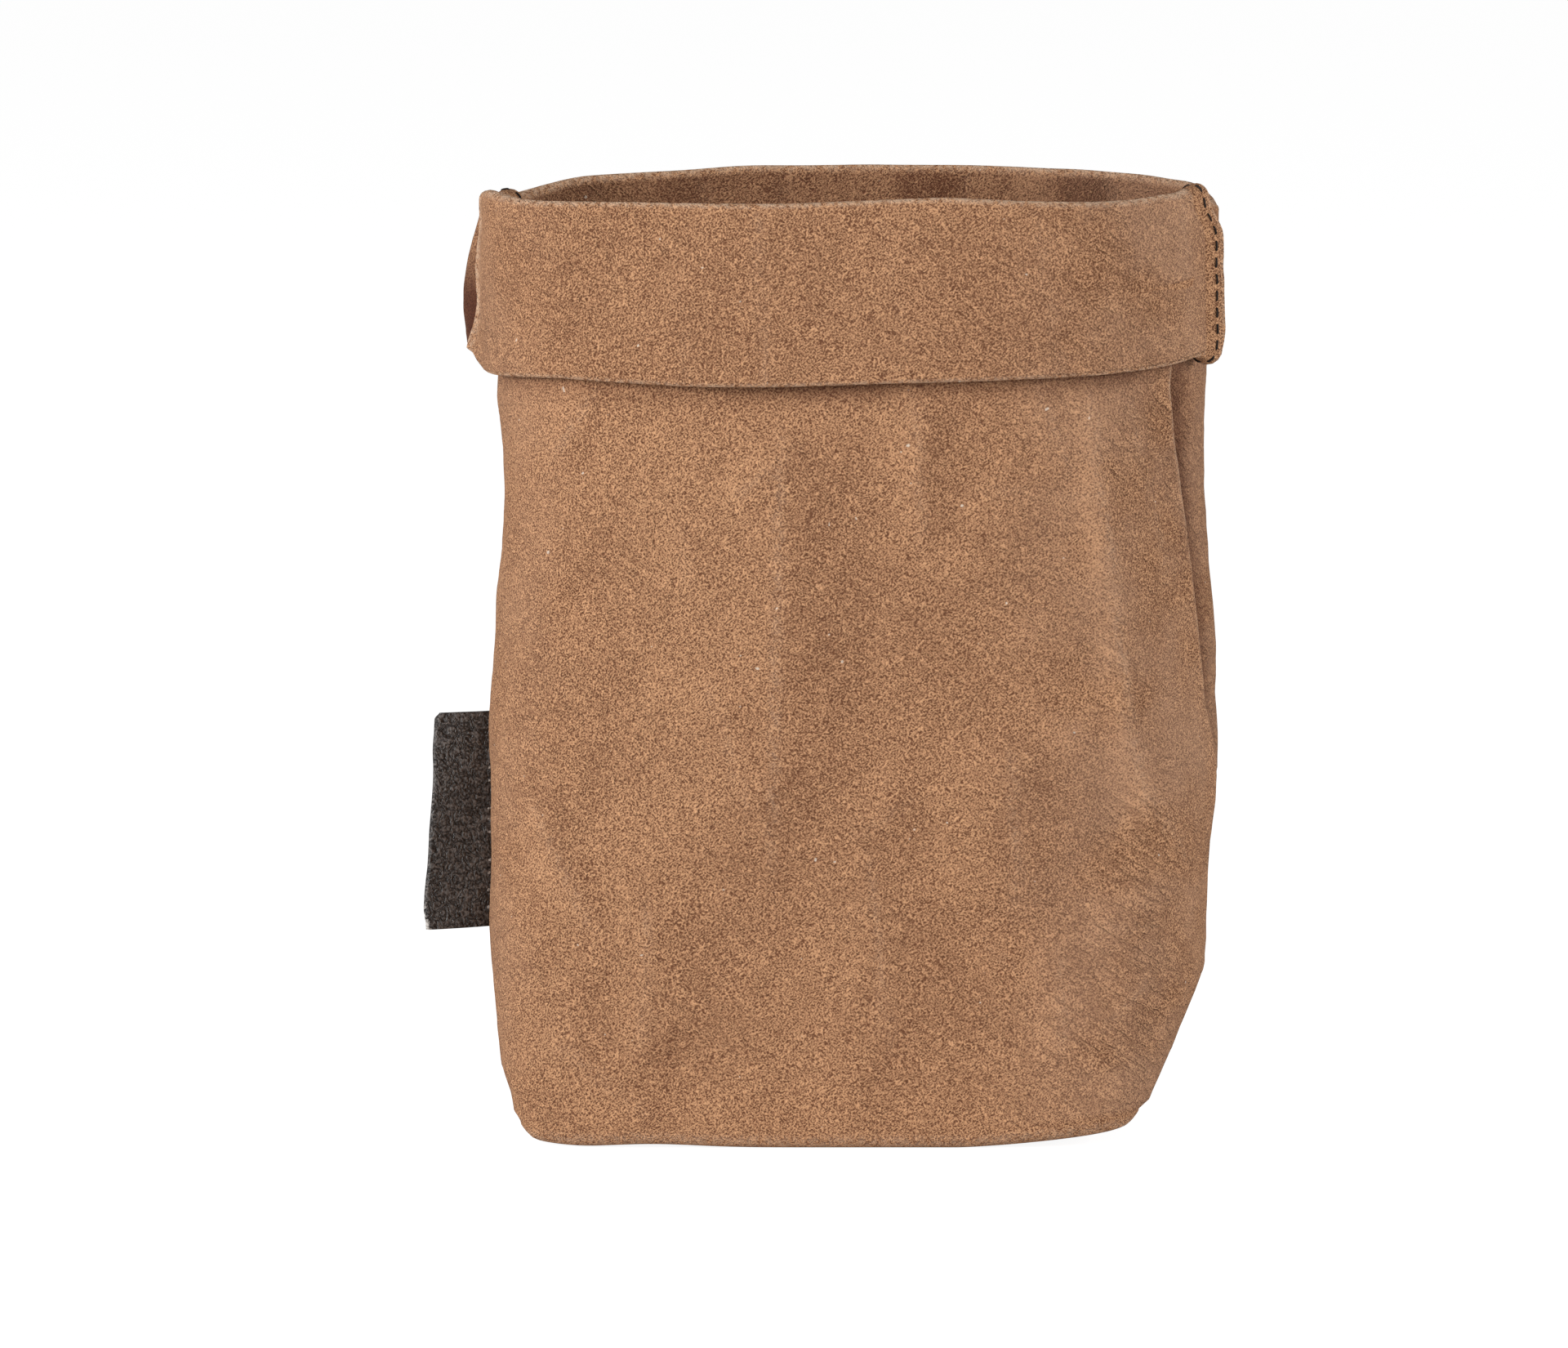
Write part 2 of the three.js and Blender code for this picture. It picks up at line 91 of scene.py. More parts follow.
def wall_outlines(z):
    """Closed outlines, one for each height z, as x, y and distance round.

    |x/a|^n + |y/b|^n = 1. The half length a and the power n follow from the height. The half
    depth b is found by halving, so that every outline is as long as the sheet's girth.
    """
    below_belly = np.clip(1 - z / BELLY_Z, 0, 1)
    low_part = mix(BELLY_HALF, BASE_HALF, below_belly ** 3)
    waist_part = mix(BELLY_HALF, WAIST_HALF, smooth(z, BELLY_Z, WAIST_Z))
    rim_part = mix(WAIST_HALF, RIM_HALF, smooth(z, WAIST_Z, RIM_Z))
    a = np.select([z < BELLY_Z, z < WAIST_Z], [low_part, waist_part], rim_part)[:, None]
    power = 2 / mix(MOUTH_POWER, BASE_POWER, np.exp(-z / CORNER_FADE))[:, None]
    angle = np.pi + np.linspace(0, 2 * np.pi, 1441)
    x = a * np.sign(np.cos(angle)) * np.abs(np.cos(angle)) ** power
    unit_y = np.sign(np.sin(angle)) * np.abs(np.sin(angle)) ** power
    low, high = np.full(len(z), 1.0), np.full(len(z), GIRTH / 2)
    for _ in range(40):
        b = (low + high) / 2
        short = np.hypot(np.diff(x), b[:, None] * np.diff(unit_y)).sum(1) < GIRTH
        low, high = np.where(short, b, low), np.where(short, high, b)
    y = b[:, None] * unit_y
    lengths = np.cumsum(np.hypot(np.diff(x), np.diff(y)), axis=1)
    around = np.concatenate([np.zeros((len(z), 1)), lengths * (GIRTH / lengths[:, -1:])], axis=1)
    return x - BASE_SHIFT * below_belly[:, None] ** 2, y, around


def read_outlines(outlines, distance):
    """Points at the given distances along each outline, straight between its neighbours."""
    x, y, around = outlines
    at = np.mod(distance, GIRTH)
    rows = range(len(at))
    return np.stack([[np.interp(at[i], around[i], c[i]) for i in rows] for c in (x, y)], axis=-1)


# Path of the sheet from the base's edge to its raw edge, row by row: heights on the wall, and
# shares of the turn or of the way on every other part.
ROWS = {
    "base": np.linspace(0, 1, 7),
    "wall": np.linspace(BASE_EDGE_RADIUS + PAPER / 2, CREST_Z - RIM_FOLD_RADIUS["left"], 111)[1:],
    "rim": np.linspace(0, 1, 11)[1:],
    "cuff": np.linspace(0, 1, 29)[1:],
    "foot": np.linspace(0, 1, 9)[1:],
    "hem": np.linspace(0, 1, 7)[1:],
}
PARTS = np.repeat(list(ROWS), [len(rows) for rows in ROWS.values()])
KINDS = [(PARTS == part)[:, None] for part in ROWS]
is_base, is_wall, is_rim, is_cuff, is_foot, is_hem = KINDS
TRAVEL = np.concatenate(list(ROWS.values()))[:, None]
DROP = np.where(is_cuff, TRAVEL, np.where(is_foot | is_hem, 1.0, 0.0))
OUTLINE_Z = np.select(KINDS, [
    0 * TRAVEL,
    TRAVEL,
    CREST_Z + 0 * TRAVEL,
    mix(CREST_Z - RIM_FOLD_RADIUS["panel"], FOOT_Z, TRAVEL),
    FOOT_Z + 0 * TRAVEL,
    FOOT_Z + TRAVEL * HEM_TUCK,
])
GROWTH = np.where(is_base, 0.0, smooth(OUTLINE_Z, 3.2, 9.0))
OUTLINES = wall_outlines(OUTLINE_Z[:, 0])
NEAR_RIM = smooth(OUTLINE_Z, CREST_Z - 26, CREST_Z - 2)
ON_CUFF = np.where(is_rim, 0.0, DROP)

# How far each pressed allowance leans over, in degrees, as (share of the cuff's height, lean).
LEFT_LEAN = [(0, 88), (0.3, 74), (0.6, 72), (0.9, 80), (1, 86)]
RIGHT_LEAN = [(0, 80), (0.2, 56), (0.6, 55), (0.86, 42), (1, 66)]
LEAN = np.radians(np.concatenate([
    np.where(
        is_wall | is_base,
        mix(LEAN_ON_WALL, table[0][1], NEAR_RIM),
        np.interp(ON_CUFF, *np.array(table).T),
    )
    for table in (LEFT_LEAN, RIGHT_LEAN)
], axis=1))

# Heights of the rim's crest and of the cuff's foot above their even lines, as (s, height).
CREST_WAVE = [
    (0, -3.5), (9, -2.6), (17, -0.7), (28, 0.1), (46, -0.9), (70, -0.3), (105, -0.3), (125, 0.4),
    (142, 1.1), (160, 0.1), (175, -0.4), (186, -0.2), (193, 0.6), (201, 0.5), (208, -1.4),
    (217, -3.0), (226, -3.6), (236, -2.2), (244, -0.6), (251, -0.5), (258, 0.1), (266, 0.2),
    (273, 0.8), (280, 0.8), (292, 1.1), (315, 1.3), (329, 1.0), (340, 1.1), (352, 0.2),
    (376, -0.6), (390, -2.8), (400, -3.5),
]
FOOT_WAVE = [
    (0, 3.4), (11, 3.8), (16.5, 4.4), (20, 2.6), (25, 1.0), (32, 0.3), (55, 1.3), (85, 0.5),
    (105, 0.6), (125, 1.3), (150, 1.8), (172, 2.4), (188, 3.4), (196, 4.6), (203, 6.0),
    (212, 5.2), (221, 4.0), (240, 1.6), (300, 0.4), (350, 1.4), (385, 2.6), (400, 3.4),
]


def wave(table, s):
    """A value read round the sheet from a table of (s, value), rounded over 3 mm each side."""
    places, values = np.array(table).T
    steps = (-3, -1.5, 0, 1.5, 3)
    taps = [np.interp(np.mod(s + step, GIRTH), places, values) for step in steps]
    return sum(taps) / len(taps)


# Folds pressed into the panels: from x, z to x, z, then height, reach to the left and to the right,
# and roundness. A positive height stands out of the bag.
FRONT_FOLDS = [
    (-15.0, 150, -17.0, 60, 1.5, 34, 20, 1.8),
    (-25.0, 138, -11.0, 149, 0.55, 6, 5, 0.7),
    (13.0, 160, 14.5, 128, 0.6, 4, 7, 0.8),
    (49.0, 160, 60.0, 72, 0.95, 5, 13, 0.8),
    (57.0, 160, 66.0, 118, 0.5, 7, 6, 0.8),
    (60.0, 76, 72.0, 58, 0.7, 8, 7, 0.8),
    (60.0, 75, 43.0, 52, -0.8, 20, 15, 0.9),
    (33.0, 84, 35.0, 50, 0.8, 18, 18, 2.5),
    (43.0, 42, 44.0, 20, 0.5, 7, 8, 1.0),
    (-68.0, 72, -55.0, 46, 0.7, 7, 6, 0.8),
    (-43.0, 52, -44.0, 20, 0.6, 6, 15, 1.2),
    (-62.0, 22, -42.0, 6, 0.5, 8, 12, 1.2),
    (-54.0, 160, -62.0, 146, 0.7, 9, 5, 0.8),
    (-36.0, 132, -34.0, 118, 0.4, 8, 8, 1.5),
    (38.0, 162, 46.0, 143, 0.5, 6, 5, 0.7),
    (26.0, 140, 55.0, 137, 0.3, 6, 6, 0.9),
    (0.0, 66, 13.0, 74, 0.4, 7, 7, 0.8),
    (26.0, 45, 34.0, 38, 0.35, 6, 7, 0.7),
    (3.0, 62, 8.0, 22, 0.6, 14, 16, 2.0),
    (50.0, 45, 66.0, 46, 0.35, 7, 6, 0.8),
    (-30.0, 98, -22.0, 72, 0.5, 16, 9, 1.5),
    (52.0, 24, 62.0, 36, 0.5, 9, 7, 0.9),
]
BACK_FOLDS = [
    (-32.0, 200, -26.0, 150, 1.2, 10, 14, 0.8),
    (9.0, 200, 17.0, 158, -1.3, 9, 12, 0.7),
    (-14.0, 200, -20.0, 120, 0.9, 16, 12, 1.5),
    (25.0, 200, 22.0, 172, 0.8, 7, 8, 0.8),
    (42.0, 200, 50.0, 168, -1.4, 8, 12, 0.7),
    (55.0, 200, 62.0, 150, 1.1, 7, 9, 0.8),
    (-55.0, 200, -48.0, 130, 0.8, 12, 18, 1.5),
    (22.0, 150, 30.0, 60, 1.4, 26, 18, 2.0),
    (-30.0, 110, -22.0, 35, 1.1, 16, 22, 2.0),
    (40.0, 96, 62.0, 52, 0.8, 10, 12, 1.0),
    (-64.0, 88, -42.0, 40, 0.8, 10, 9, 1.0),
    (-60.0, 30, -38.0, 8, 0.6, 9, 12, 1.0),
    (58.0, 34, 40.0, 8, 0.7, 10, 10, 1.0),
    (0.0, 40, 6.0, 10, 0.6, 14, 12, 1.5),
]
CUFF_FOLDS = [
    (-20.0, 204, -18.0, 156, 0.9, 30, 18, 2.0),
    (-36.0, 184, -33.0, 156, 0.4, 6, 6, 1.0),
    (67.0, 204, 68.0, 156, 0.6, 8, 5, 0.8),
    (37.0, 204, 43.0, 156, 0.5, 12, 14, 1.5),
    (5.0, 196, 11.0, 170, 0.35, 9, 9, 1.2),
]
WALL_CRUMPLES = [(0.30, 52, 3), (0.15, 21, 8), (0.08, 8.5, 12)]  # height, size, seed


def fold_lines(folds, x, z):
    """Sum of tents over straight fold lines, and how near each point is to a crest.

    The tent's height falls evenly from its line to zero at its reach, with a rounded crest, and it
    fades out past both ends of the line.
    """
    total, crest = np.zeros_like(x), np.zeros_like(x)
    for x0, z0, x1, z1, height, left, right, roundness in folds:
        run = np.hypot(x1 - x0, z1 - z0)
        ux, uz = (x1 - x0) / run, (z1 - z0) / run
        t = ((x - x0) * ux + (z - z0) * uz) / run
        aside = ((z - z0) * ux - (x - x0) * uz) * (1 if uz < 0 else -1)
        reach = np.where(aside > 0, right, left)
        soft = (roundness / reach) ** 2
        tent = np.sqrt(1 + soft) - np.sqrt((aside / reach) ** 2 + soft)
        ends = smooth(t, -0.12, 0.14) * (1 - smooth(t, 0.84, 1.15))
        total += height * np.clip(tent, 0, None) * ends
        crest = np.maximum(crest, bell(aside, 0, 0.9) * ends * np.clip(height, 0, 1))
    return total, crest


def crumple(s, z, size, seed):
    """Creased unevenness: a sum of bent zigzag waves, each 1 - 2|sin|, closed up round the bag."""
    random = np.random.default_rng(seed)
    bends = round(GIRTH / size / 2.3)
    bend = 3.0 * np.sin(2 * np.pi * s * bends / GIRTH + z * 2.1 / size)
    turns = random.uniform(0, 2 * np.pi, 9)
    total = np.zeros(np.broadcast(s, z).shape)
    for turn in turns:
        around = round(GIRTH / size * np.cos(turn))
        phase = random.uniform(0, np.pi)
        angle = np.pi * (around * s / GIRTH + (z + bend) * np.sin(turn) / size) + phase
        total += 1 - 2 * np.abs(np.sin(angle))
    return total / 3.0


def share_to_right(s):
    """0 at the left seam, 1 at the right seam, and a cosine's rise and fall between them."""
    return (1 - np.cos(np.pi * s / PANEL)) / 2


def size_at(sizes, s):
    """A size at distances s, from its values amid a panel and at each seam."""
    nearness = np.cos(np.pi * s / PANEL) ** 4
    return mix(sizes["panel"], mix(sizes["left"], sizes["right"], share_to_right(s)), nearness)


def rolled_section(s):
    """The sheet's plain section: offset out from the wall, height, and the inner face's direction.

    Quarter turn at the base's edge, straight wall, half turn over the rim, slanted cuff, half turn
    at its foot, and the hem. The direction is given as its part outwards and its part upwards.
    """
    rim_radius, foot_offset = size_at(RIM_FOLD_RADIUS, s), size_at(FOOT_STANDOFF, s)
    half_turn = np.pi * TRAVEL
    quarter = half_turn / 2
    level = 0 * quarter
    offset = np.select(KINDS, [
        -BASE_EDGE_RADIUS * (1 - np.sin(quarter)) + 0 * s,
        0 * s,
        rim_radius * (1 - np.cos(half_turn)),
        mix(2 * rim_radius, foot_offset, TRAVEL),
        foot_offset - FOOT_FOLD_RADIUS * (1 - np.cos(half_turn)),
        mix(foot_offset - 2 * FOOT_FOLD_RADIUS, size_at(HEM_STANDOFF, s), TRAVEL),
    ])
    z = np.select(KINDS, [
        PAPER / 2 + BASE_EDGE_RADIUS * (1 - np.cos(quarter)) + 0 * s,
        TRAVEL + 0 * s,
        CREST_Z - rim_radius * (1 - np.sin(half_turn)),
        mix(CREST_Z - rim_radius, FOOT_Z, TRAVEL),
        FOOT_Z - FOOT_FOLD_RADIUS * np.sin(half_turn) + 0 * s,
        FOOT_Z + TRAVEL * HEM_TUCK + 0 * s,
    ])
    out = np.select(KINDS, [
        -np.sin(quarter), level - 1, -np.cos(half_turn), level + 1, np.cos(half_turn), level - 1,
    ])
    up = np.select(KINDS, [
        np.cos(quarter), level, np.sin(half_turn), level, -np.sin(half_turn), level,
    ])
    return offset, z, out, up


def seam_twist(s):
    """How far the sheet has turned round the bag: forwards at the right seam, back at the left."""
    up_the_wall = 27 * np.clip((OUTLINE_Z - 8) / 150, 0, 1) ** 1.15
    up_the_wall = up_the_wall - 2 * smooth(OUTLINE_Z, 160, CREST_Z - 2)
    down_the_cuff = RIGHT_SEAM_DRIFT + 4 * (1 - smooth(ON_CUFF, 0.02, 0.26))
    right_drift = np.where(is_wall | is_base, up_the_wall, down_the_cuff)
    left_drift = LEFT_SEAM_DRIFT * smooth(OUTLINE_Z, 15, 165)
    return mix(left_drift, right_drift, share_to_right(s))


def wall_folds(at, x, front, back):
    """Push outwards of the walls' folds, which the cuff and its hem follow, relief, and crests."""
    front_push, front_crest = fold_lines(FRONT_FOLDS, x, OUTLINE_Z)
    back_push, back_crest = fold_lines(BACK_FOLDS, x, OUTLINE_Z)
    push = 1.5 * (front * front_push + back * back_push)
    for height, size, seed in WALL_CRUMPLES:
        push += height * crumple(at, OUTLINE_Z, size, seed)
    relief = push * (is_wall | is_cuff)
    left_end = 0.8 * bell(OUTLINE_Z, 156, 8) - 1.0 * bell(OUTLINE_Z, 136, 12)
    right_end = 0.6 * bell(OUTLINE_Z, 104, 18) - 0.3 * bell(OUTLINE_Z, 142, 16)
    push += left_end * bell(at, 2, 16) + right_end * bell(at, PANEL, 14)
    push *= np.where(is_base, 0.0, smooth(OUTLINE_Z, 3, 14))
    push *= mix(1.0, 0.55, smooth(OUTLINE_Z, 150, 175) * front)
    return push, relief, np.maximum(front * front_crest, back * back_crest)


def right_crease(s):
    """The step beside the right seam, most of all below the cuff: its push, its shade and its wear.

    The front panel stands over the back one. It turns in sharply at the seam, and the back panel
    rises again slowly.
    """
    past = s - PANEL
    strength = mix(0.35, 1.0, bell(OUTLINE_Z, 138, 52)) * smooth(OUTLINE_Z, 12, 45) * is_wall
    turned_in = np.where(past < 0, bell(past, 0, 1.2), bell(past, 0, 8.0))
    push = 1.3 * bell(past, -3.2, 2.2) + 0.5 * bell(past, 24, 9) - 3.8 * turned_in
    # Painted shade in the crevice behind the front panel's edge.
    shade = np.where(past < -1.0, 0, 0.68 * bell(past, 4.3, 3.0) + 0.17 * bell(past, 8, 9))
    return strength * push, strength * shade, strength * 1.5 * bell(past, -2.0, 0.9)


def cuff_folds(s, x, front):
    """Push outwards of the cuff's folds and of the pleat at its left end, its shade, and crests.

    The pleat is a crisp edge at s = 17, a valley just behind it and a full curve round the end.
    """
    on_cuff = DROP * (is_cuff | is_foot | is_hem)
    folded_back = is_rim | is_cuff | is_foot | is_hem
    tucked = np.where(is_foot, TRAVEL, is_hem)
    fold_push, crest = fold_lines(CUFF_FOLDS, x, OUTLINE_Z)
    push = front * fold_push + 0.12 * crumple(s + 40, OUTLINE_Z + 90, 30, 5)
    push = smooth(on_cuff, 0, 0.25) * (push + 0.05 * crumple(s, OUTLINE_Z, 12, 6))
    around_end = np.mod(s + PANEL, GIRTH) - PANEL
    curve = 4.7 * np.sin(np.pi * np.clip(on_cuff / 1.45, 0, 1)) * (1 - 0.6 * tucked)
    curve = curve * bell(around_end, mix(8.0, 5.0, on_cuff), 5.0)
    valley = mix(mix(1.4, 3.0, on_cuff), 1.9, tucked) * smooth(on_cuff, 0, 0.2)
    edge = mix(0.5, 1.4, on_cuff) * bell(s, 16.9, 1.3)
    flare = 1.6 * smooth(on_cuff, 0.70, 1.0) * bell(s, 18.0, 4.5)
    pleat = curve - valley * bell(s, 13.6, 1.9) + (edge + flare) * (1 - tucked)
    # Painted shade in the pleat's valley, deeper towards the foot.
    in_pleat = smooth(s, -2, 9) * (1 - smooth(s, 15.4, 16.8)) * (is_cuff | is_foot)
    shade = in_pleat * mix(0.22, 1.1, smooth(on_cuff, 0.20, 0.72))
    return push + folded_back * pleat, shade, crest


# The boxed corners move the bag's ends along X, as (z, shift).
LEFT_END = [(3, -0.2), (8, 0), (13.6, -1.0), (19, -0.4), (24, 0), (29, 0.3), (35, 0)]
RIGHT_END = [
    (0, 0.8), (8, 0.2), (19, 0.1), (24, 0.5), (29, 1.3), (34, 2.0), (40, 1.1),
    (46, 0.2), (55, -0.6), (62, -0.7), (70, 0.8), (76, 1.5), (82, 1.3), (92, 0.3),
]


def end_shift(x):
    """How far a point at x moves along X with its end of the bag."""
    left, right = (np.interp(OUTLINE_Z, *np.array(table).T) for table in (LEFT_END, RIGHT_END))
    return np.where(x < 0, left, right) * smooth(np.abs(x), 28, 62)


def end_lift(x):
    """How far the base stands off the floor towards its two ends, the right one most."""
    right_lift = 3.2 * np.clip((x - 22) / 35, 0, 1.1) ** 1.4
    return right_lift + 0.7 * bell(x, -42, 13) + 0.7 * smooth(-x, 54, 70)


def folded_sheet(s):
    """The middle of the sheet at distances s round the bag, and its directions, for every row.

    Point = wall outline, moved outwards by the row's offset and the folds, at the row's height, and
    drawn in beside a seam. The directions are the inner face's, along the sheet round the bag, and
    onwards from the base to the raw edge. Last come the values that the material reads.
    """
    s = np.broadcast_to(s, (len(PARTS), np.size(s)))
    offset, z, out, up = rolled_section(s)
    at = s - seam_twist(s)
    flat = read_outlines(OUTLINES, at)
    tangent = unit(read_outlines(OUTLINES, at + 0.7) - read_outlines(OUTLINES, at - 0.7))
    away = np.stack([tangent[..., 1], -tangent[..., 0], 0 * at], axis=-1)
    along = np.stack([tangent[..., 0], tangent[..., 1], 0 * at], axis=-1)

    front = smooth(-flat[..., 1], -2, 10)
    back = smooth(flat[..., 1], -2, 10)
    wall_push, relief, wall_crest = wall_folds(at, flat[..., 0], front, back)
    crease_push, crease_shade, crease_wear = right_crease(s)
    cuff_push, pleat_shade, cuff_crest = cuff_folds(s, flat[..., 0], front)
    push = wall_push + crease_push + cuff_push

    foot_rise = wave(FOOT_WAVE, s)
    near_crest = np.where(is_wall, smooth(OUTLINE_Z, 150, 197), 1 - DROP) * (1 - is_base)
    lift = wave(CREST_WAVE, s) * near_crest + foot_rise * DROP
    flat[..., 0] += end_shift(flat[..., 0])
    lift = lift + end_lift(flat[..., 0]) * (1 - smooth(z, 2, 22)) * (is_base | is_wall)

    inner = away * out[..., None] + np.array([0, 0, 1.0]) * up[..., None]
    onwards = away * up[..., None] - np.array([0, 0, 1.0]) * out[..., None]
    beyond = np.mod(s, PANEL)
    to_seam = np.minimum(beyond, PANEL - beyond)
    pinch = 0.9 * bell(to_seam, 0, 2.4) * GROWTH
    pinch = pinch + is_base * 0.5 * bell(TRAVEL, 0.5, 0.25) * (1 - smooth(to_seam, 28, 36))
    middle = np.concatenate([flat, (z + lift)[..., None]], axis=-1)
    middle = middle + away * (offset + push)[..., None] + inner * pinch[..., None]

    # Worn folds, painted shade in the right crease, under the cuff and in the pleat, and paler
    # ends.
    crests = np.maximum(wall_crest * (is_wall | is_base), 0.6 * front * cuff_crest * is_cuff)
    turned = np.sin(np.pi * TRAVEL)
    fold_wear = np.select([is_base, is_rim, is_foot], [0.5 * turned, 1.3 * turned, turned])
    pleat_wear = (is_cuff | is_rim) * (0.9 * bell(s, 17.3, 0.8) + 0.45 * bell(s, 18.8, 1.8))
    wear = np.maximum.reduce([0.3 * crests, fold_wear + 0 * s, pleat_wear, crease_wear])
    # Painted shadow on the wall under the cuff's foot, deeper in two places.
    cuff_shadow = 0.42 + 0.38 * bell(s, 118, 14) + 0.38 * bell(s, 183, 13)
    cuff_shadow = cuff_shadow * is_wall * smooth(OUTLINE_Z - foot_rise, 155.0, 161.0)
    painted_shade = np.maximum.reduce([crease_shade, cuff_shadow, pleat_shade])
    # Paler, patchy colour towards the bag's two ends, most at the right, with more wrinkles there.
    toward_ends = smooth(flat[..., 0], 22, 66) + 0.4 * smooth(-flat[..., 0], 54, 76)
    toward_ends = toward_ends * (is_wall | is_cuff | is_rim)
    paint = {"wear": wear, "relief": relief, "painted_shade": painted_shade, "toward_ends": toward_ends}
    return middle, inner, along, onwards, paint


def seam_lines():
    """Frames up both seams: middle, reach out along the pressed allowance, and across it."""
    middle, inner, along, onwards, _ = folded_sheet(np.array([0.0, PANEL]))
    backwards = np.array([-1.0, 1.0])[None, :, None]
    lean = LEAN[..., None]
    reach = unit(inner * np.cos(lean) + along * np.sin(lean) * backwards)
    return middle, reach, np.cross(onwards, reach)


SEAM_MIDDLE, SEAM_REACH, SEAM_ACROSS = seam_lines()
LABEL_BOTTOM_Z, LABEL_TOP_Z = 41.0, 87.5
LABEL_OPENING = 0.75 * (smooth(OUTLINE_Z, 35, 40) - smooth(OUTLINE_Z, 88.5, 93.5)) * is_wall
LAYER_SHIFT = [PAPER / 2 + LABEL_OPENING, PAPER / 2 + 0 * LABEL_OPENING]  # left seam, right seam
FIN_REACHES = np.array([ALLOWANCE, 3.1, 2.2, 1.2])
BEND_SHARES = np.array([0.75, 0.5, 0.25])


def seam_columns(seam, side, edge_middle, edge_inner):
    """Columns that turn from a panel into its layer of the pressed allowance, raw edge first.

    The flat of the allowance is the seam's middle plus reach, shifted by half the paper to its own
    side. The bend is a curve of the second degree from the flat to the panel's last column.
    """
    growth = GROWTH[..., None]
    beside = SEAM_ACROSS[:, seam, None] * (side * LAYER_SHIFT[seam])[..., None] * growth
    root = SEAM_MIDDLE[:, seam, None] + beside
    fin = root + SEAM_REACH[:, seam, None] * (FIN_REACHES[None, :, None] * growth)
    facing = SEAM_ACROSS[:, seam, None] * side
    t = BEND_SHARES[None, :, None]
    edge = edge_middle[:, None]
    bend = edge * (1 - t) ** 2 + root * 2 * t * (1 - t) + fin[:, -1:] * t ** 2
    turned = mix(edge_inner[:, None], facing, t * growth)
    fin_inner = unit(mix(edge_inner[:, None], np.broadcast_to(facing, fin.shape), growth))
    return np.concatenate([fin, bend], axis=1), np.concatenate([fin_inner, unit(turned)], axis=1)


def column_places(start):
    """Distances round the bag of one panel's columns, closer together at seams and the pleat."""
    from_seam = np.linspace(1.0, PANEL - 1.0, 2001)
    density = 0.5 + 1.5 * bell(from_seam, 0, 5) + 1.5 * bell(from_seam, PANEL, 5)
    density += 0.9 * bell(from_seam, 15, 4) * (start == 0)
    share = np.cumsum(density)
    return start + np.interp(np.linspace(share[0], share[-1], 122), share, from_seam)


def panel_grid(start):
    """One panel as a grid from the base's edge to the raw edge, allowances on both sides."""
    s = column_places(start)
    middle, inner, _, _, paint = folded_sheet(s)
    first, last = (0, 1) if start == 0 else (1, 0)
    front = 1 if start == 0 else -1
    side = {0: -front, 1: front}
    head, head_inner = seam_columns(first, side[first], middle[:, 0], inner[:, 0])
    tail, tail_inner = seam_columns(last, side[last], middle[:, -1], inner[:, -1])
    middle = np.concatenate([head, middle, tail[:, ::-1]], axis=1)
    inner = np.concatenate([head_inner, inner, tail_inner[:, ::-1]], axis=1)
    # Painted light and shade on the folds' flanks: lighter where the relief rises along s and
    # darker where it falls. Above the hem the back panel is seen from inside the bag; there this
    # painted shading is stronger and painted shade darkens the wall. The cuff is painted a little
    # darker.
    inner_wall_shade = is_wall * smooth(OUTLINE_Z, 163, 170) * (start == PANEL)
    painted_fold_shading = np.clip(np.gradient(paint["relief"], s, axis=1), -0.3, 0.3) * (1 + 0.4 * inner_wall_shade)
    painted_fold_shading = painted_fold_shading - 0.08 * (is_cuff | is_foot) - 0.12 * inner_wall_shade
    fin_wear = np.array([0.75, 0.1, 0, 0, 0, 0, 0]) * GROWTH
    margin = ((0, 0), (fin_wear.shape[1], fin_wear.shape[1]))
    shown = {"painted_fold_shading": painted_fold_shading, "painted_shade": paint["painted_shade"], "toward_ends": paint["toward_ends"]}
    shown = {key: np.pad(part, margin) for key, part in shown.items()}
    shown["wear"] = np.concatenate([fin_wear, paint["wear"], fin_wear[:, ::-1]], axis=1)
    return middle, inner, shown


def base_rows(edge):
    """Base rows for one panel: straight lines from the base's middle line to the panel's edge.

    Both panels share the middle line, which is divided evenly between its ends.
    """
    ends = sorted((edge[0, 0], edge[-1, 0]))
    share = np.linspace(0, 1, len(edge))
    shared_x = mix(*ends, share if edge[0, 0] < edge[-1, 0] else 1 - share)
    spread = np.linspace(0, 1, 9)[:-1, None]
    x = mix(shared_x, edge[:, 0], spread)
    y = edge[:, 1] * spread
    return np.stack([x, y, PAPER / 2 + end_lift(x)], axis=-1)


def grid_quads(rows, columns, first):
    """Corner numbers of the quads of a grid whose points are numbered row by row from first."""
    a = (np.arange(rows - 1)[:, None] * columns + np.arange(columns - 1)).ravel() + first
    return np.stack([a, a + 1, a + columns + 1, a + columns], axis=1)


def two_faced(middle, inner, first, thickness=PAPER, first_row_open=True):
    """A sheet with thickness: its outer and inner faces, and strips that close its raw edges.

    Outer and inner face = middle minus and plus half the thickness along the inner direction.
    """
    rows, columns = middle.shape[:2]
    outer_face = middle - inner * (thickness / 2)
    inner_face = middle + inner * (thickness / 2)
    points = np.concatenate([outer_face.reshape(-1, 3), inner_face.reshape(-1, 3)])
    count = rows * columns
    outer_quads = grid_quads(rows, columns, first)
    inner_quads = grid_quads(rows, columns, first + count)[:, ::-1]
    numbers = np.arange(count).reshape(rows, columns) + first
    strips = []
    edges = [(numbers[:, 0], False), (numbers[:, -1], True), (numbers[-1], False)]
    for edge, reverse in edges if first_row_open else edges + [(numbers[0], True)]:
        quads = np.stack([edge[:-1], edge[1:], edge[1:] + count, edge[:-1] + count], axis=1)
        strips.append(quads[:, ::-1] if reverse else quads)
    return points, np.concatenate([outer_quads, inner_quads] + strips)


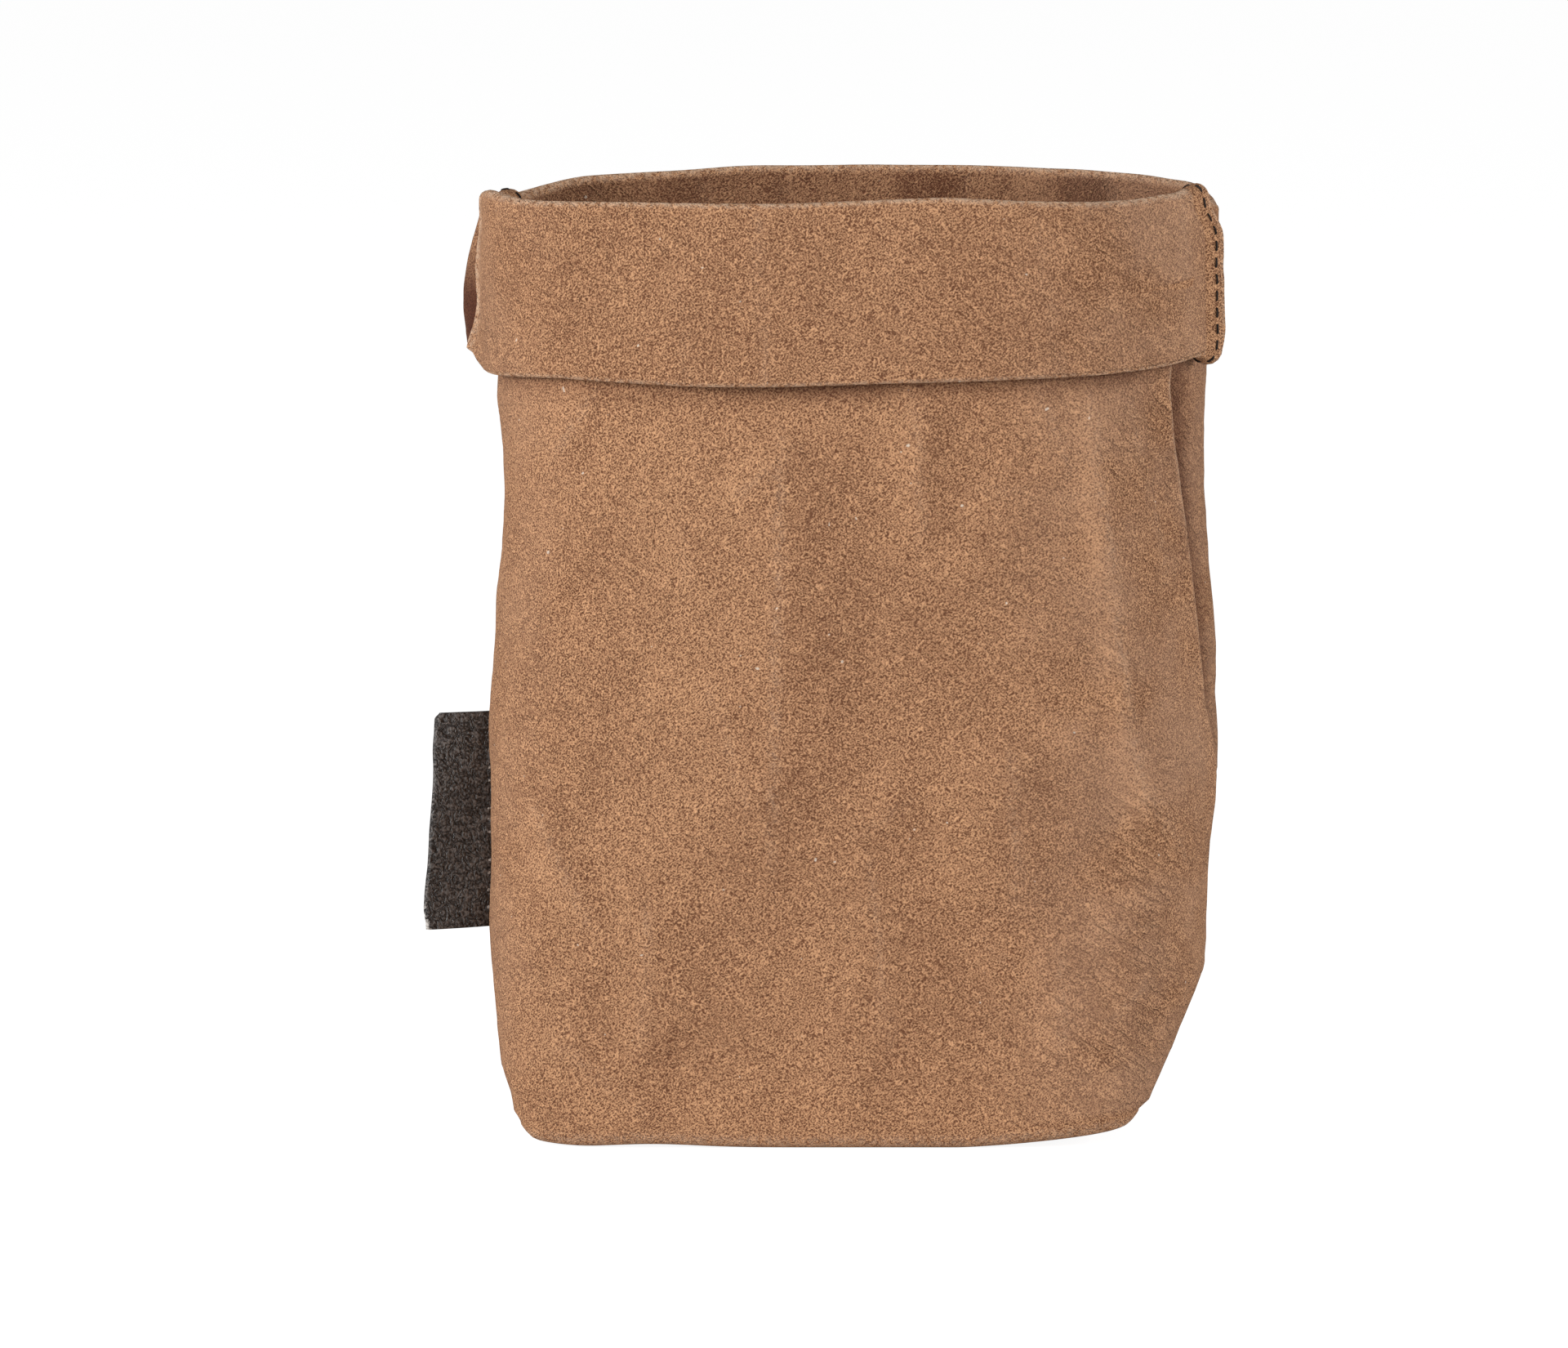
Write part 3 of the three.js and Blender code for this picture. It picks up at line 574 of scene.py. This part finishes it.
def carried(section, middle, right, up, first):
    """A closed section carried along a path: point = middle + right x + up y, with flat ends.

    section is a list of (x, y) corners; middle, right and up are the path's frames.
    """
    x, y = np.array(section).T
    points = middle[:, None] + right[:, None] * x[:, None] + up[:, None] * y[:, None]
    rows, corners = points.shape[:2]
    a = np.arange(rows - 1)[:, None] * corners + np.arange(corners) + first
    b = np.arange(rows - 1)[:, None] * corners + (np.arange(corners) + 1) % corners + first
    quads = np.stack([a, b, b + corners, a + corners], axis=-1).reshape(-1, 4)
    last = first + (rows - 1) * corners
    ends = [list(range(first, first + corners))[::-1], list(range(last, last + corners))]
    return points.reshape(-1, 3), quads.tolist() + ends


# The seams across the boxed corners: both layers of their allowance stand up inside the bag.
CORNER_SEAM_HALF = 33.0
CORNER_ROW = 3  # halfway round the base's edge
CORNER_LAYER = [(0.1, 0.02), (ALLOWANCE, 0.02), (ALLOWANCE, PAPER), (0.1, PAPER)]
corner_paths = []
for seam_s in (0.0, PANEL):
    spots = seam_s + np.linspace(-CORNER_SEAM_HALF, CORNER_SEAM_HALF, 45)
    spot_middle, spot_inner, _, spot_onwards, _ = folded_sheet(spots)
    corner_paths.append((spot_middle[CORNER_ROW], spot_inner[CORNER_ROW], spot_onwards[CORNER_ROW]))

UP_ROWS = np.zeros((8, 1, 3)) + np.array([0, 0, 1.0])
sheet_points, sheet_faces, counted = [], [], 0
sheet_paint = {"wear": [], "painted_fold_shading": [], "painted_shade": [], "toward_ends": []}
for start in (0, PANEL):
    middle, inner, paint = panel_grid(start)
    base = base_rows(middle[0])
    full_middle = np.concatenate([base, middle])
    full_inner = np.concatenate([np.broadcast_to(UP_ROWS, base.shape), inner])
    points, quads = two_faced(full_middle, full_inner, counted)
    sheet_points.append(points)
    sheet_faces += quads.tolist()
    for key, numbers in paint.items():
        one_face = np.concatenate([np.zeros(base.shape[:2]), numbers]).ravel()
        sheet_paint[key] += [one_face, one_face]
    counted += len(points)
for path in corner_paths:
    for side in (1, -1):
        layer = [(x, side * y) for x, y in CORNER_LAYER]
        points, faces = carried(layer, *path, counted)
        sheet_points.append(points)
        sheet_faces += faces
        for numbers in sheet_paint.values():
            numbers.append(np.zeros(len(points)))
        counted += len(points)


SHARP_ANGLE = 0.9


def mesh_object(name, points, faces, merge, **values):
    """A mesh object from points in millimetres, with a point attribute for each of values.

    Points closer than merge are joined, flat slivers go, and faces are turned outwards.
    """
    mesh = bpy.data.meshes.new(name)
    mesh.from_pydata((np.asarray(points) * MM).tolist(), [], faces)
    for key, numbers in values.items():
        attribute = mesh.attributes.new(key, "FLOAT", "POINT")
        attribute.data.foreach_set("value", np.asarray(numbers, np.float32))
    work = bmesh.new()
    work.from_mesh(mesh)
    bmesh.ops.remove_doubles(work, verts=work.verts, dist=merge * MM)
    bmesh.ops.dissolve_degenerate(work, edges=work.edges, dist=merge * MM)
    bmesh.ops.recalc_face_normals(work, faces=work.faces)
    work.to_mesh(mesh)
    work.free()
    mesh.shade_smooth()
    mesh.set_sharp_from_angle(angle=SHARP_ANGLE)
    thing = bpy.data.objects.new(name, mesh)
    bpy.context.scene.collection.objects.link(thing)
    return thing


bag = mesh_object(
    "kraft_paper_sheet", np.concatenate(sheet_points), sheet_faces, merge=0.002,
    **{key: np.concatenate(numbers) for key, numbers in sheet_paint.items()},
)


class Wire:
    """An output socket. Plus, minus and times on it add Math nodes."""

    def __init__(self, surface, socket):
        self.surface, self.socket = surface, socket

    def math(self, operation, a, b=0.0):
        return self.surface.node("ShaderNodeMath", {"operation": operation}, {0: a, 1: b})

    def __add__(self, other):
        return self.math("ADD", self, other)

    def __sub__(self, other):
        return self.math("SUBTRACT", self, other)

    def __rsub__(self, other):
        return self.math("SUBTRACT", other, self)

    def __mul__(self, other):
        return self.math("MULTIPLY", self, other)

    def away_from(self, level):
        """How far it is from a level, either way."""
        return self.math("ABSOLUTE", self - level)


class Surface:
    """A material under construction."""

    def __init__(self, name):
        self.material = bpy.data.materials.new(name)
        self.material.use_nodes = True
        self.tree = self.material.node_tree
        self.tree.nodes.clear()

    def node(self, kind, settings=None, inputs=None, output=0):
        """Any node: its settings are set first, then the values or wires of its sockets."""
        node = self.tree.nodes.new(kind)
        for key, value in (settings or {}).items():
            setattr(node, key, value)
        for key, value in (inputs or {}).items():
            if isinstance(value, Wire):
                self.tree.links.new(value.socket, node.inputs[key])
            else:
                node.inputs[key].default_value = value
        return Wire(self, node.outputs[output])

    def place(self, turn=(0, 0, 0), stretch=(1, 1, 1)):
        """Object coordinates. What is drawn in them is stretched along their axes, then turned."""
        coordinates = self.node("ShaderNodeTexCoord", output="Object")
        inputs = {"Vector": coordinates, "Rotation": turn, "Scale": stretch}
        return self.node("ShaderNodeMapping", {"vector_type": "TEXTURE"}, inputs)

    def painted(self, key):
        """A value that the mesh carries at its points."""
        return self.node("ShaderNodeAttribute", {"attribute_name": key}, output="Fac")

    def noise(self, place, scale, detail=2.0, rough=0.5, distortion=0.0):
        """Noise from 0 to 1, with about that many lumps to the metre."""
        inputs = {"Vector": place, "Scale": scale, "Detail": detail, "Roughness": rough}
        return self.node("ShaderNodeTexNoise", inputs={**inputs, "Distortion": distortion})

    def step(self, value, low, high, to_low=0.0, to_high=1.0):
        """Smooth step of a value from low to high."""
        inputs = {0: value, 1: low, 2: high, 3: to_low, 4: to_high}
        return self.node("ShaderNodeMapRange", {"interpolation_type": "SMOOTHSTEP"}, inputs)

    def blend(self, factor, a, b):
        """The colour a share factor of the way from a to b."""
        return self.node("ShaderNodeMix", {"data_type": "RGBA"}, {0: factor, 6: a, 7: b}, output=2)

    def finish(self, height, distance, **inputs):
        """A Principled surface with a bump of the given height, written to the output."""
        relief = {"Height": height, "Distance": distance, "Strength": 1.0}
        named = {key.replace("_", " "): value for key, value in inputs.items()}
        named["Normal"] = self.node("ShaderNodeBump", inputs=relief)
        self.write(self.node("ShaderNodeBsdfPrincipled", inputs=named))

    def write(self, shader):
        """Link a shader to the material's output."""
        end = self.tree.nodes.new("ShaderNodeOutputMaterial")
        self.tree.links.new(shader.socket, end.inputs["Surface"])


def colour(red, green, blue):
    """A colour written in 0 to 255 display values, as the linear values that a shader takes."""
    share = np.array([red, green, blue]) / 255
    linear = np.where(share <= 0.04045, share / 12.92, ((share + 0.055) / 1.055) ** 2.4)
    return (*linear.tolist(), 1.0)


# Kraft paper, washed: suede-like grain of short slanted dashes, soft mottling, a net of fine
# wrinkles, long creases, and pale worn lines where it has been folded. Painted shade darkens the
# grooves of the wrinkles and creases, the flanks of folds get painted light and shade, and painted
# shade lies in the right crease, under the cuff and in the pleat.
kraft = Surface("washed_kraft_paper")
plain = kraft.place()
rising = kraft.place(turn=(0, -0.7, 0), stretch=(1.5, 1.0, 0.8))
falling = kraft.place(turn=(0, 0.8, 0), stretch=(1.4, 1.0, 0.8))
grain = kraft.noise(rising, 3100, detail=0.0) + kraft.noise(falling, 3100, detail=0.0) - 0.5
mottle = kraft.noise(plain, 150, detail=4.0, rough=0.6)
cloud = kraft.noise(plain, 40, detail=3.0, rough=0.55)
cell_inputs = {"Vector": plain, "Scale": 330, "Randomness": 1.0}
net = kraft.node("ShaderNodeTexVoronoi", {"feature": "DISTANCE_TO_EDGE"}, cell_inputs, "Distance")
net_line = (1 - kraft.step(net, 0.0, 0.09)) * kraft.step(kraft.noise(plain, 42), 0.48, 0.66)
rising_crease = kraft.place(turn=(0, -0.75, 0), stretch=(4.0, 1.6, 0.8))
falling_crease = kraft.place(turn=(0, 0.6, 0), stretch=(4.5, 1.6, 0.8))
long_rising, long_falling = kraft.noise(rising_crease, 260), kraft.noise(falling_crease, 360)
wrinkled = kraft.step(kraft.noise(plain, 30), 0.42, 0.60)
wear, painted_fold_shading, painted_shade, toward_ends = (kraft.painted(key) for key in ("wear", "painted_fold_shading", "painted_shade", "toward_ends"))
worn = wear * kraft.step(kraft.noise(plain, 900), 0.34, 0.60)
crease_line = 1 - kraft.step(long_falling.away_from(0.5), 0.015, 0.075)
crease_line = crease_line * (wrinkled * 0.45 + toward_ends * 0.5 + 0.05)
veil = toward_ends * kraft.step(cloud, 0.30, 0.62)
fleck = kraft.step(kraft.noise(plain, 700, detail=0.0), 0.87, 0.89)

# The fold shading term adds painted light and shade on the flanks of folds.
tone = (grain - 0.5) * 2.1 + (mottle - 0.5) * 0.03 + (cloud - 0.5) * 0.2 + painted_fold_shading * 0.9 + 0.5
paper_colour = kraft.blend(kraft.step(tone, -0.3, 1.3), colour(108, 67, 43), colour(211, 160, 119))
for share, tint in (
    # Painted shade in the grooves of the wrinkle net and the long creases.
    (net_line * 0.2 + crease_line * 0.4, colour(116, 76, 52)),
    (veil * 0.34, colour(186, 148, 122)),
    (worn * 0.55, colour(222, 190, 162)),
    (fleck * 0.7, colour(235, 218, 200)),
    # Painted shade in the right crease, under the cuff's foot and in the pleat.
    (painted_shade * 0.84, colour(72, 30, 15)),
):
    paper_colour = kraft.blend(share, paper_colour, tint)

long_creases = (long_rising * 2.4 + long_falling * 2.0) * (wrinkled * 1.1 + toward_ends * 1.1 + 0.15)
kraft.finish(
    grain * 1.7 + mottle * 0.5 - net_line * 0.6 + long_creases - crease_line * 1.3, 0.00022,
    Base_Color=paper_colour,
    Roughness=kraft.step(grain, 0.2, 0.8, 0.78, 0.92),
    Specular_IOR_Level=0.25,
)
bag.data.materials.append(kraft.material)
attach(bag, "root")
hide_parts("basket_body")

# The sewing threads.
# Dark polyester thread in a lockstitch 2 mm inside the raw edge: one thread shows as dashes on the
# front of each allowance, and the other on its back. Each dash dives into the paper at both ends.
THREAD_WIDTH = 0.48
THREAD_HEIGHT = 0.84 * THREAD_WIDTH
STITCH_PITCH = 3.5
STITCH_LENGTH = 2.4
STITCH_REACH = 2.2
ROUND = np.linspace(0, 2 * np.pi, 6, endpoint=False)


def stitch_row(middle, reach, face, first_gap=1.0):
    """Dashes of thread along a seam, as points and faces.

    A dash's middle = seam line + reach + lift along the face's direction, where the lift is half a
    thread, less a term in the fifth power that takes its two ends into the paper.
    """
    steps = np.linalg.norm(np.diff(middle, axis=0), axis=1)
    run = np.concatenate([[0], np.cumsum(steps)])
    starts = np.arange(first_gap, run[-1] - STITCH_LENGTH, STITCH_PITCH)
    share = np.linspace(0, 1, 9)
    at = starts[:, None] + share * STITCH_LENGTH
    lift = THREAD_HEIGHT / 2 - 0.5 * np.abs(2 * share - 1) ** 5
    here, out, aside = (
        np.stack([np.interp(at, run, c) for c in rows.T], axis=-1)
        for rows in (middle, unit(face), unit(reach))
    )
    spine = here + out * lift[:, None]
    ring = aside[:, :, None] * (np.cos(ROUND) * THREAD_WIDTH / 2)[:, None]
    ring = ring + out[:, :, None] * (np.sin(ROUND) * THREAD_HEIGHT / 2)[:, None]
    points = (spine[:, :, None] + ring).reshape(-1, 3)
    sides, length = len(ROUND), len(share)
    first = np.arange(len(starts))[:, None, None] * sides * length
    a = first + np.arange(length - 1)[:, None] * sides + np.arange(sides)
    b = first + np.arange(length - 1)[:, None] * sides + (np.arange(sides) + 1) % sides
    quads = np.stack([a, b, b + sides, a + sides], axis=-1).reshape(-1, 4).tolist()
    cap_starts = np.concatenate([first.ravel(), first.ravel() + sides * (length - 1)])
    caps = [list(range(k, k + sides)) for k in cap_starts.tolist()]
    return points, quads + caps


thread = Surface("dark_thread")
twist = thread.noise(thread.place(), 5200, detail=1.0)
thread.finish(
    twist, 0.00008,
    Base_Color=thread.blend(twist, colour(14, 9, 7), colour(40, 28, 23)),
    Roughness=0.7,
    Specular_IOR_Level=0.3,
)


def sew(name, node, points, faces):
    """One row of stitches, in the place of the CAD's plain strand."""
    row = mesh_object(name, points, faces, merge=0.0005)
    row.data.materials.append(thread.material)
    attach(row, "root")
    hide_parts(node)


sewn = GROWTH[:, 0] >= 1.0
for seam, (hand, backwards) in enumerate((("left", -1), ("right", 1))):
    for kind, side in (("needle", backwards), ("bobbin", -backwards)):
        face = SEAM_ACROSS[:, seam] * side
        line = SEAM_MIDDLE[:, seam] + SEAM_REACH[:, seam] * STITCH_REACH
        line = line + face * (LAYER_SHIFT[seam] + PAPER / 2)
        row_points, row_faces = stitch_row(line[sewn], SEAM_REACH[sewn, seam], face[sewn])
        sew(f"{hand}_seam_{kind}_stitches", f"{hand}_seam_{kind}_thread", row_points, row_faces)
    corner_middle, corner_inner, corner_across = corner_paths[seam]
    for kind, side in (("needle", 1), ("bobbin", -1)):
        face = corner_across * side
        line = corner_middle + corner_inner * STITCH_REACH + face * PAPER
        row_points, row_faces = stitch_row(line, corner_inner, face, first_gap=0.6)
        sew(f"{hand}_corner_{kind}_stitches", f"{hand}_corner_{kind}_thread", row_points, row_faces)

# The side label.
# A strip of black coated paper folded double, 46.5 mm high, with both ends caught between the
# layers of the left seam. It is bare, creased like leather, and worn pale along its fold.
LABEL_PAPER = 0.45
LABEL_ROOT = 3.0  # caught in the seam
LABEL_REACH = 17.3  # from the seam to the fold, at the bottom
LABEL_SLANT = 3.1  # how much less it reaches at the top
LABEL_ROUNDING = 0.9
LABEL_RADIUS = 0.4
HOLE_SHARES = [0.09, 0.17, 0.25, 0.31, 0.44, 0.50, 0.55, 0.68, 0.74, 0.82, 0.91]
label_rows = np.linspace(0, 1, 150)[:, None]
label_z = mix(LABEL_BOTTOM_Z + 0.8, LABEL_TOP_Z - 0.3, label_rows[:, 0])
wall_rows = PARTS == "wall"


def at_label(rows):
    """Left-seam frame rows read at the label's heights."""
    wall_z = OUTLINE_Z[wall_rows, 0]
    return np.stack([np.interp(label_z, wall_z, c) for c in rows[wall_rows, 0].T], axis=-1)


# Section of the folded strip: front layer outwards, half round the fold, back layer inwards.
leg = np.linspace(0, 1, 30)[:-1]
bend_angle = np.linspace(-np.pi / 2, np.pi / 2, 11)
label_reach = LABEL_REACH - LABEL_SLANT * label_rows
label_reach = label_reach - LABEL_ROUNDING * (1 - smooth(label_rows, 0.0, 0.11))
label_reach = label_reach - LABEL_ROUNDING * smooth(label_rows, 0.965, 1.0) ** 2
fold_x = label_reach - LABEL_RADIUS - LABEL_PAPER / 2
leg_x = -LABEL_ROOT + (fold_x + LABEL_ROOT) * leg
bend_x = fold_x + LABEL_RADIUS * np.cos(bend_angle)
label_x = np.concatenate([leg_x, bend_x, leg_x[:, ::-1]], axis=1)
layer_side = np.concatenate([-np.ones(len(leg)), np.sin(bend_angle), np.ones(len(leg))])
parting = LABEL_RADIUS + 0.22 * smooth(label_rows, 0.6, 1.0) * bell(label_x, 7, 6)
curl = -0.9 * np.clip(label_x / 17, 0, 1) ** 2 * (1 + 0.5 * label_rows)
curl = curl + 0.18 * np.sin(label_rows * 7 + label_x / 4)
label_y = layer_side * parting + curl * smooth(label_x, 0, 6)
normal_x = np.concatenate([np.zeros(len(leg)), np.cos(bend_angle), np.zeros(len(leg))])
label_middle, label_out, label_across = (
    at_label(SEAM_MIDDLE), -at_label(SEAM_REACH), -at_label(SEAM_ACROSS)
)
spot = label_middle[:, None] + label_out[:, None] * label_x[..., None]
spot = spot + label_across[:, None] * label_y[..., None]
outward = label_out[:, None] * normal_x[:, None] + label_across[:, None] * layer_side[:, None]
label_points, label_faces = two_faced(spot, -unit(outward), 0, LABEL_PAPER, first_row_open=False)
fold_near = bell(label_x, label_reach, 0.9)
low_corner = (1 - smooth(label_rows, 0.0, 0.25)) + 0.25
chipped = fold_near * low_corner + 0.5 * bell(label_rows, 0, 0.006) * smooth(label_x, 2, 9)
hole_rows = bell(label_rows[:, :, None], np.array(HOLE_SHARES), 0.008).sum(-1)
label = mesh_object(
    "folded_label", label_points, label_faces.tolist(), merge=0.0005,
    wear=np.tile(chipped.ravel(), 2),
    holes=np.tile((bell(label_x, 2.3, 0.45) * hole_rows).ravel(), 2),
)
coated = Surface("black_coated_paper")
label_place = coated.place()
fine = coated.noise(label_place, 1700, detail=1.0)
bent = coated.noise(label_place, 420, detail=3.0, rough=0.6, distortion=1.2)
crinkle = coated.noise(label_place, 430, distortion=0.8)
hide_line = 1 - coated.step(crinkle.away_from(0.5), 0.01, 0.07)
edge_wear, holes = coated.painted("wear"), coated.painted("holes")
chips = coated.step(edge_wear * coated.noise(label_place, 1300), 0.40, 0.50)
stitch_holes = coated.step(holes, 0.35, 0.6)
grey = coated.step((fine - 0.5) * 2.4 + (bent - 0.5) * 0.6 + 0.5, 0.0, 1.0)
label_colour = coated.blend(grey, colour(36, 31, 29), colour(108, 101, 97))
for share, tint in (
    # The darker crinkle lines are painted shade in their grooves.
    (hide_line * 0.6, colour(24, 20, 19)),
    (chips * 0.9, colour(196, 190, 184)),
    (stitch_holes * 0.85, colour(200, 194, 188)),
):
    label_colour = coated.blend(share, label_colour, tint)
coated.finish(
    fine * 0.8 + bent * 1.6 - hide_line * 0.9, 0.00035,
    Base_Color=label_colour,
    Roughness=coated.step(fine, 0.2, 0.8, 0.40, 0.58),
    Specular_IOR_Level=0.5,
)
label.data.materials.append(coated.material)
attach(label, "root")
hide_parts("side_label")

# Floor, lights and camera.
# A pale table, soft low light from both sides, a little more from the left, and a long lens a
# little above the rim. The camera alone sees a white backdrop and a nearly white floor.
FLOOR_HALF, FLOOR_Z = 14.0, -0.0001
corners = [(-1, -1), (1, -1), (1, 1), (-1, 1)]
floor_mesh = bpy.data.meshes.new("pale_floor")
floor_mesh.from_pydata(
    [(x * FLOOR_HALF, y * FLOOR_HALF, FLOOR_Z) for x, y in corners], [], [(0, 1, 2, 3)]
)
floor = bpy.data.objects.new("pale_floor", floor_mesh)
bpy.context.scene.collection.objects.link(floor)
pale = Surface("pale_floor")
seen = pale.node("ShaderNodeLightPath", output="Is Camera Ray")
matt = pale.node("ShaderNodeBsdfDiffuse", inputs={"Color": (0.86, 0.86, 0.86, 1)})
glow = pale.node("ShaderNodeEmission", inputs={"Color": (1, 1, 1, 1), "Strength": 1.52})
pale.write(pale.node("ShaderNodeMixShader", inputs={0: seen * 0.6, 1: matt, 2: glow}))
floor_mesh.materials.append(pale.material)


def soft_light(name, place, target, size, power):
    """A square area light that faces the target."""
    lamp = bpy.data.lights.new(name, "AREA")
    lamp.size, lamp.energy = size, power
    light = bpy.data.objects.new(name, lamp)
    bpy.context.scene.collection.objects.link(light)
    light.location = place
    aim = np.array(target) - np.array(place)
    flat = np.hypot(aim[0], aim[1])
    light.rotation_euler = (np.arctan2(flat, -aim[2]), 0, np.arctan2(-aim[0], aim[1]))


MIDDLE_OF_BAG = (0, 0, 0.1)
soft_light("left_light", (-1.9, -1.0, 0.7), MIDDLE_OF_BAG, 0.8, 44)
soft_light("right_light", (1.9, -0.75, 0.6), MIDDLE_OF_BAG, 0.8, 26.5)
soft_light("front_light", (-0.3, -2.45, 0.8), MIDDLE_OF_BAG, 0.9, 11.5)

world = bpy.data.worlds.new("studio")
bpy.context.scene.world = world
world.use_nodes = True
tree = world.node_tree
tree.nodes.clear()
sky, white = (tree.nodes.new("ShaderNodeBackground") for _ in range(2))
for background, strength in ((sky, 0.19), (white, 1.0)):
    background.inputs["Color"].default_value = (1, 1, 1, 1)
    background.inputs["Strength"].default_value = strength
path = tree.nodes.new("ShaderNodeLightPath")
choose = tree.nodes.new("ShaderNodeMixShader")
world_end = tree.nodes.new("ShaderNodeOutputWorld")
tree.links.new(path.outputs["Is Camera Ray"], choose.inputs[0])
tree.links.new(sky.outputs[0], choose.inputs[1])
tree.links.new(white.outputs[0], choose.inputs[2])
tree.links.new(choose.outputs[0], world_end.inputs[0])

IMAGE_WIDTH = 1920
FOCAL_LENGTH_PX = 15047
CAMERA_PLACE = (-0.0144, -2.6, 0.396)
CAMERA_DIP = 6.584  # degrees below level
lens = bpy.data.cameras.new("photo_camera")
lens.sensor_fit = "HORIZONTAL"
lens.sensor_width = 36
lens.lens = 36 * FOCAL_LENGTH_PX / IMAGE_WIDTH
lens.clip_end = 50
camera = bpy.data.objects.new("photo_camera", lens)
bpy.context.scene.collection.objects.link(camera)
camera.location = CAMERA_PLACE
camera.rotation_euler = (np.radians(90 - CAMERA_DIP), 0, 0)
bpy.context.scene.camera = camera
bpy.context.scene.view_settings.view_transform = "Standard"
